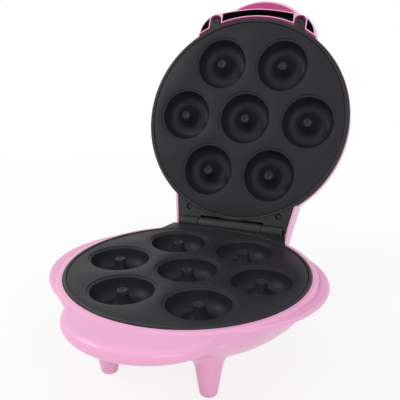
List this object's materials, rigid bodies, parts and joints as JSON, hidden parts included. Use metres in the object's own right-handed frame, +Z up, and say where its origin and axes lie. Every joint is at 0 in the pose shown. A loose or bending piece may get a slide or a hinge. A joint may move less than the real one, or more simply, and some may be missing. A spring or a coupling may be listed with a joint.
{
  "type": "mini donut maker",
  "caption": "Countertop ring-cake maker: round bowl-shaped base on tapered legs, front lip, and a hinged lid with a neck and pocketed handle, shown open.",
  "frame": {"origin": "middle of the open cooker's footprint box, on the surface that it stands on", "axes": "+X to the right along the hinge, +Y from the front lip to the hinge, +Z up"},
  "size_m": [0.2286, 0.3438, 0.2794],
  "materials": {
    "pink_shell": "glossy moulded plastic",
    "black_frame": "satin moulded heat-proof plastic",
    "coated_plate": "dark non-stick coating on cast metal",
    "steel": "plated",
    "dark_steel": "blackened",
    "tinned_sheet": "bright rolled sheet",
    "heater_sheath": "heat-darkened tube",
    "rubber": "matte",
    "switch_plastic": "pale technical plastic",
    "lead_sleeve": "woven glass sleeve",
    "red_lens": "clear coloured",
    "green_lens": "clear coloured",
    "bulb_glass": "clear"
  },
  "bodies": {
    "base": {"base_frame": "black_frame", "base_screw_front_left": "steel", "base_screw_front_right": "steel", "base_screw_rear_left": "steel", "base_screw_rear_right": "steel", "base_shell": "pink_shell", "cord_gland": "black_frame", "foot_pad_front_left": "rubber", "foot_pad_front_right": "rubber", "foot_pad_rear_left": "rubber", "foot_pad_rear_right": "rubber", "fuse_clip": "steel", "hinge_pin": "steel", "link_lead": "lead_sleeve", "live_lead": "lead_sleeve", "lower_heater": "heater_sheath", "lower_plate": "coated_plate", "lower_plate_screw_front": "steel", "lower_plate_screw_rear": "steel", "lower_reflector": "tinned_sheet", "neutral_lead": "lead_sleeve", "terminal_block": "switch_plastic", "thermal_fuse": "steel", "thermostat": "switch_plastic"},
    "lid": {"lamp_holder": "switch_plastic", "lid_frame": "black_frame", "lid_screw_ear_left": "dark_steel", "lid_screw_ear_right": "dark_steel", "lid_screw_neck_left": "dark_steel", "lid_screw_neck_right": "dark_steel", "lid_shell": "pink_shell", "power_bulb": "bulb_glass", "power_lens": "red_lens", "ready_bulb": "bulb_glass", "ready_lens": "green_lens", "upper_heater": "heater_sheath", "upper_plate": "coated_plate", "upper_plate_screw_front": "steel", "upper_plate_screw_rear": "steel", "upper_reflector": "tinned_sheet"}
  },
  "joints": [
    {"name": "lid_hinge", "type": "hinge", "parent": "base", "child": "lid", "pos_m": [0, 0.06411, 0.0696], "axis": [1, 0, 0], "range_deg": [0, 110.7]}
  ]
}
